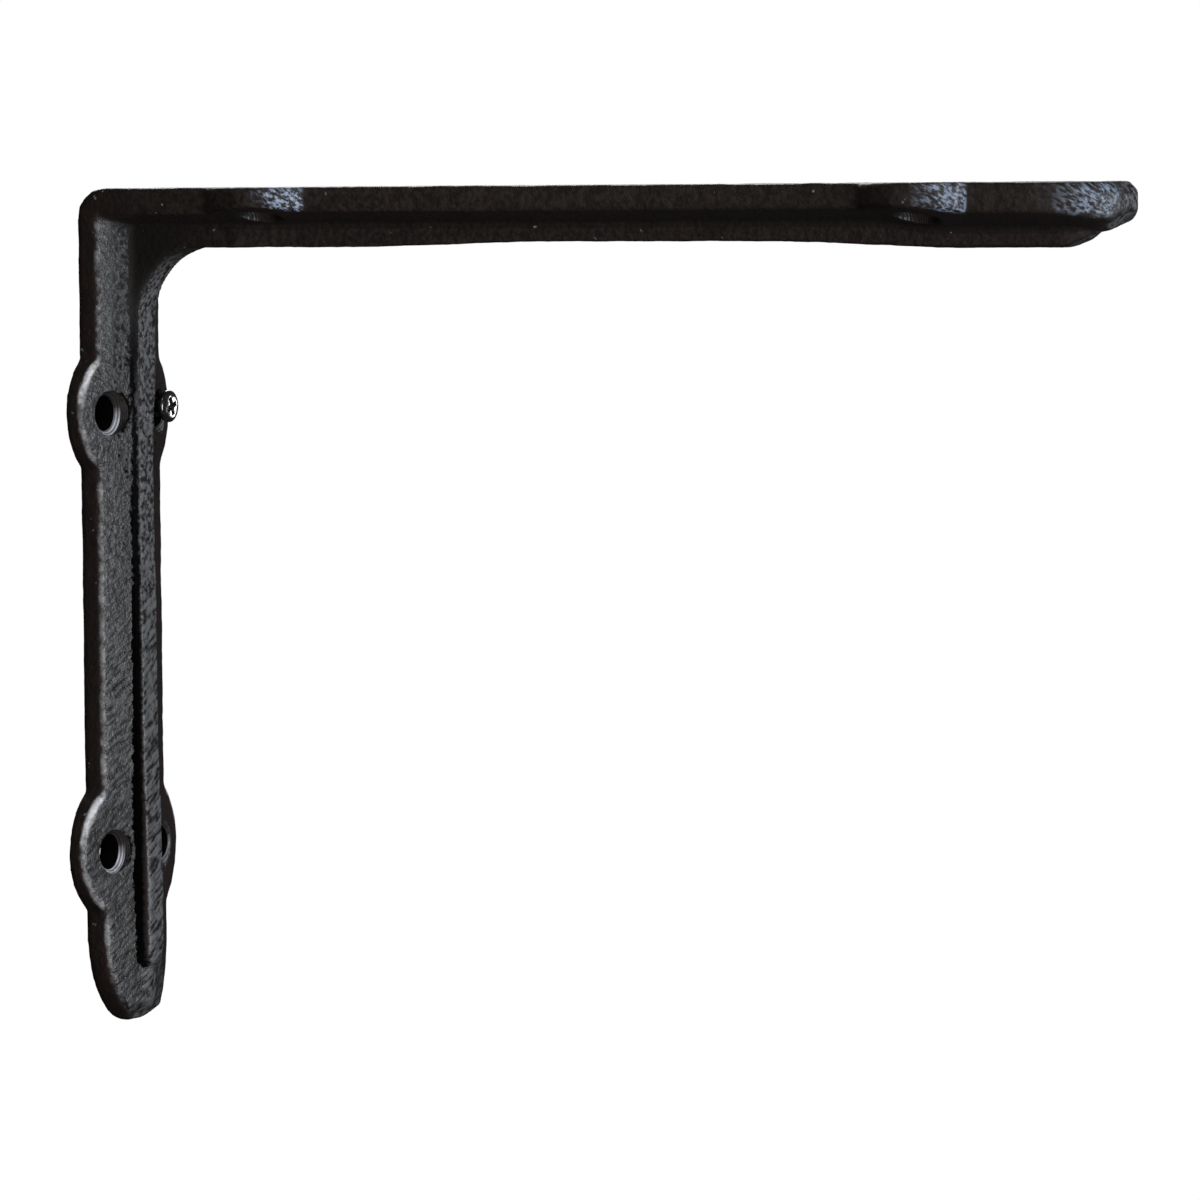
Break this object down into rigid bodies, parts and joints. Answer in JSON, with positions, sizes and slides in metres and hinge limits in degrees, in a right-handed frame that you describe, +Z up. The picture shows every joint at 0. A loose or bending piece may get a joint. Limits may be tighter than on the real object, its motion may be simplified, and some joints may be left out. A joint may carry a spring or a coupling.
{
  "type": "shelf bracket",
  "caption": "Plain L-shaped cast iron shelf bracket with a raised rib, rounded screw lugs and tongue ends, a screw standing in a hole.",
  "frame": {"origin": "on the flat face that lies against the wall, on the centre line, midway between the two pairs of wall screw holes", "axes": "+X out from the wall along the arm, +Y across the bracket, +Z up"},
  "size_m": [0.2, 0.0312, 0.15],
  "materials": {
    "cast_iron": "rough sand-cast iron, darkened, faintly rust-brown on its edges",
    "screw_steel": "glossy black"
  },
  "bodies": {
    "root": {"bracket": "cast_iron", "screw": "screw_steel"}
  },
  "joints": []
}
